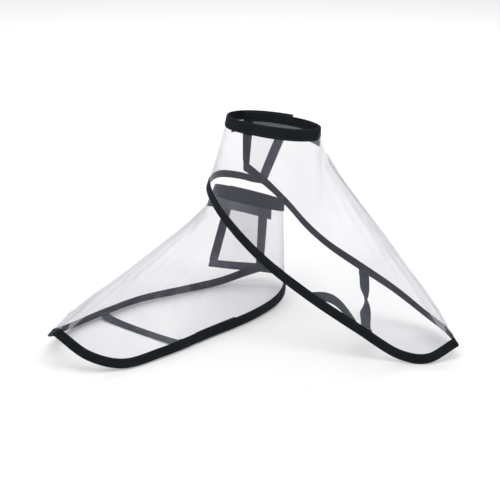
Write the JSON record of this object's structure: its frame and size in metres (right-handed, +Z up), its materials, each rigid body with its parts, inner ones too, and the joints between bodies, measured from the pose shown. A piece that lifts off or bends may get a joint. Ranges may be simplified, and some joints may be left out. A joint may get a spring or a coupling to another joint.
{
  "type": "pair of clear skate boot covers",
  "caption": "Pair of clear soft vinyl covers that wrap over figure-skate boots, edged in woven tape, with a hook-and-loop ankle closure and an elastic strap under the sole.",
  "frame": {"origin": "on the floor, under the middle of the pair's overall box", "axes": "+Z up, +X from the left cover's toe side towards the right cover's toe side, +Y away from the viewer who faces the pair"},
  "size_m": [0.4134, 0.2224, 0.2307],
  "materials": {
    "clear_vinyl": "clear, glossy, soft sheet",
    "seam_vinyl": "clear glossy folded strip",
    "woven_binding": "ribbed woven polyester tape",
    "hook_tape": "stiff hook tape",
    "loop_tape": "soft loop tape",
    "elastic_webbing": "woven elastic"
  },
  "bodies": {
    "left_cover": {"left_lapping_side_panel": "clear_vinyl", "left_lapped_side_panel": "clear_vinyl", "left_front_seam_strip": "seam_vinyl", "left_collar_binding": "woven_binding", "left_sole_binding": "woven_binding", "left_lapped_back_binding": "woven_binding", "left_loop_tape": "loop_tape", "left_sole_strap": "elastic_webbing", "left_side_loop": "elastic_webbing"},
    "right_cover": {"right_lapping_side_panel": "clear_vinyl", "right_lapped_side_panel": "clear_vinyl", "right_front_seam_strip": "seam_vinyl", "right_collar_binding": "woven_binding", "right_sole_binding": "woven_binding", "right_lapped_back_binding": "woven_binding", "right_loop_tape": "loop_tape", "right_sole_strap": "elastic_webbing", "right_side_loop": "elastic_webbing"},
    "left_flap": {"left_lapping_flap_panel": "clear_vinyl", "left_flap_collar_binding": "woven_binding", "left_flap_sole_binding": "woven_binding", "left_flap_back_binding": "woven_binding", "left_flap_hook_tape": "hook_tape"},
    "right_flap": {"right_lapping_flap_panel": "clear_vinyl", "right_flap_collar_binding": "woven_binding", "right_flap_sole_binding": "woven_binding", "right_flap_back_binding": "woven_binding", "right_flap_hook_tape": "hook_tape"}
  },
  "joints": [
    {"name": "right_lift", "type": "slide", "parent": "left_cover", "child": "right_cover", "axis": [0, 0, 1], "range_m": [0, 0.16]},
    {"name": "left_flap_hinge", "type": "hinge", "parent": "left_cover", "child": "left_flap", "pos_m": [0.03578, 0.0745, 0.05439], "axis": [0.022, -0.2599, -0.9654], "range_deg": [0, 75]},
    {"name": "right_flap_hinge", "type": "hinge", "parent": "right_cover", "child": "right_flap", "pos_m": [-0.03091, -0.00259, 0.17748], "axis": [0.1731, -0.107, 0.9791], "range_deg": [0, 75]}
  ]
}
